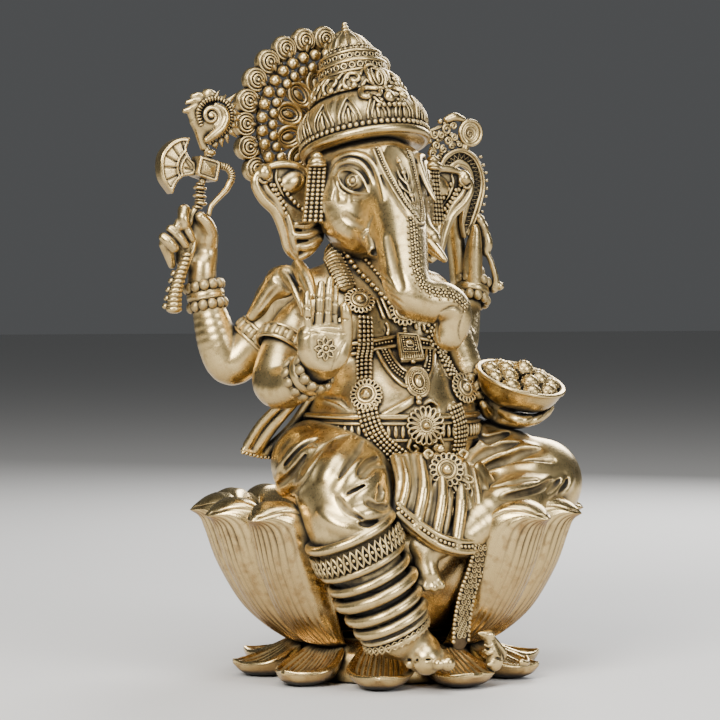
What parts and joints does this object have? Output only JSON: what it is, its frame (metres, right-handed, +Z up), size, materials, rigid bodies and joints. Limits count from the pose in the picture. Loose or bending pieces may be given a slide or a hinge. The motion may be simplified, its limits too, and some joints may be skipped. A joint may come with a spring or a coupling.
{
  "type": "cast brass ganesha idol",
  "caption": "Seated four-armed elephant-headed figure in antiqued cast brass on an open double lotus base, free-standing ornament for a shelf or shrine.",
  "frame": {"origin": "centre of the base plate's underside, on the lotus axis, at table level", "axes": "+Z up through the lotus, the figure faces -Y and its own right hand is on -X"},
  "size_m": [0.1757, 0.1568, 0.268],
  "materials": {
    "lotus_brass": "polished brass petals with dark antique patina left in the veins and behind the petals",
    "figure_brass": "polished cast brass skin and cloth with dark antique patina in the folds",
    "ornament_brass": "bright brass beads and relief over a dark patinated ground"
  },
  "bodies": {
    "root": {"base_hub": "lotus_brass", "lotus_cup": "lotus_brass", "base_petal_01": "lotus_brass", "base_petal_02": "lotus_brass", "base_petal_03": "lotus_brass", "base_petal_04": "lotus_brass", "base_petal_05": "lotus_brass", "base_petal_06": "lotus_brass", "base_petal_07": "lotus_brass", "base_petal_08": "lotus_brass", "base_petal_09": "lotus_brass", "base_petal_10": "lotus_brass", "lotus_petal_01": "lotus_brass", "lotus_petal_02": "lotus_brass", "lotus_petal_03": "lotus_brass", "lotus_petal_04": "lotus_brass", "lotus_petal_05": "lotus_brass", "lotus_petal_06": "lotus_brass", "lotus_petal_07": "lotus_brass", "lotus_petal_08": "lotus_brass", "lotus_petal_09": "lotus_brass", "lotus_petal_10": "lotus_brass", "lotus_petal_11": "lotus_brass", "lotus_petal_12": "lotus_brass", "lotus_petal_13": "lotus_brass", "torso": "figure_brass", "head": "figure_brass", "trunk": "figure_brass", "ear_right": "figure_brass", "ear_left": "figure_brass", "arm_upper_right": "figure_brass", "arm_upper_left": "figure_brass", "arm_lower_right": "figure_brass", "arm_lower_left": "figure_brass", "leg_right": "figure_brass", "leg_left": "figure_brass", "tusk_right": "ornament_brass", "tusk_left": "ornament_brass", "crown_band": "ornament_brass", "crown_dome": "ornament_brass", "crown_spire": "ornament_brass", "halo": "ornament_brass", "tassel_right": "ornament_brass", "tassel_left": "ornament_brass", "bangle_upper_right": "ornament_brass", "bangle_upper_left": "ornament_brass", "bangle_lower_right": "ornament_brass", "bangle_lower_left": "ornament_brass", "apron_drape": "ornament_brass", "sash_tail": "ornament_brass", "lace_tail": "ornament_brass", "axe_blade": "ornament_brass", "axe_handle": "ornament_brass", "conch_finial": "ornament_brass", "noose": "ornament_brass", "bowl": "ornament_brass", "laddu_heap": "ornament_brass", "garland_mala": "ornament_brass", "waist_belt": "ornament_brass", "mouse": "ornament_brass"}
  },
  "joints": []
}
